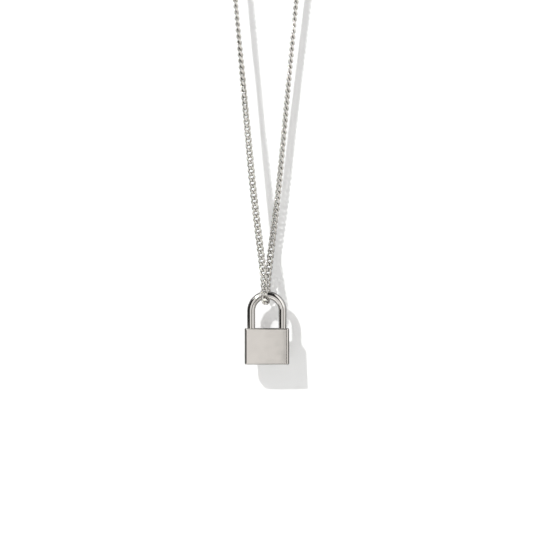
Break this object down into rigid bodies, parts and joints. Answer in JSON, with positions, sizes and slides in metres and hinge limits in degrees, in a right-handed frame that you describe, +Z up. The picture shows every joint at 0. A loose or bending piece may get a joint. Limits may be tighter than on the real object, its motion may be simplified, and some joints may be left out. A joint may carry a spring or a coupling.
{
  "type": "padlock pendant necklace",
  "caption": "Solid polished padlock pendant with a round-rod arched shackle, hanging from a closed curb chain loop that passes through the shackle.",
  "frame": {"origin": "inner side of the chain's loop at its top, where a peg, hook or neck carries it", "axes": "+Z up along the hanging necklace, -Y out of the padlock's front face, +X to the viewer's right"},
  "size_m": [0.0438, 0.0102, 0.2605],
  "materials": {
    "lock_metal": "polished, very finely brushed",
    "rod_metal": "mirror polished",
    "chain_metal": "polished",
    "fitting_metal": "polished"
  },
  "bodies": {
    "necklace": {"chain": "chain_metal", "clasp": "fitting_metal", "clasp_ring": "fitting_metal", "end_ring": "fitting_metal"},
    "padlock": {"lock_body": "lock_metal", "shackle": "rod_metal"}
  },
  "joints": [
    {"name": "padlock_swing", "type": "hinge", "parent": "necklace", "child": "padlock", "pos_m": [0.0004, 0, -0.23816], "axis": [0, 1, 0], "range_deg": [-60, 60]}
  ]
}
